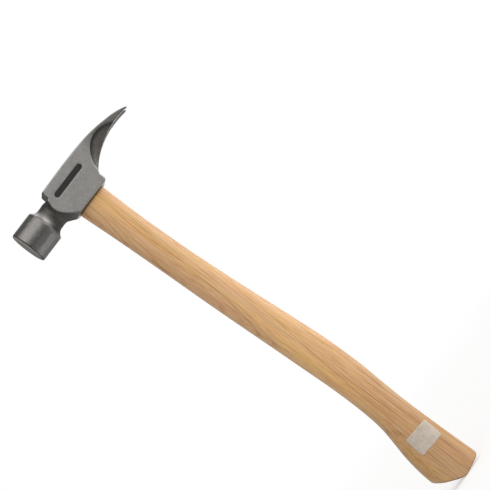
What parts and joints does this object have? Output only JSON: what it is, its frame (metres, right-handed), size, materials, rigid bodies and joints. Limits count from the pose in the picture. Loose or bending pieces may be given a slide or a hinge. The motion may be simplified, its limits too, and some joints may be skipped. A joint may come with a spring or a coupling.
{
  "type": "claw hammer",
  "caption": "Framing hammer with a light metal head, straight rip claw, magnetic nail starter notch and a curved wooden handle wedged into the eye.",
  "frame": {"origin": "centre of the striking face", "axes": "+X from the striking face towards the claw, +Z towards the top of the head with the handle hanging down along -Z, +Y across the head; the hammer is mirror-symmetric about Y = 0 apart from the label on its -Y side"},
  "size_m": [0.1584, 0.0362, 0.4589],
  "materials": {
    "head_metal": "satin",
    "magnet_plating": "polished",
    "handle_wood": "satin",
    "wedge_wood": "matte",
    "wedge_steel": "satin",
    "label_film": "satin"
  },
  "bodies": {
    "root": {"head": "head_metal", "nail_magnet": "magnet_plating", "handle": "handle_wood", "wood_wedge": "wedge_wood", "steel_wedge_front": "wedge_steel", "steel_wedge_rear": "wedge_steel", "grip_label": "label_film"}
  },
  "joints": []
}
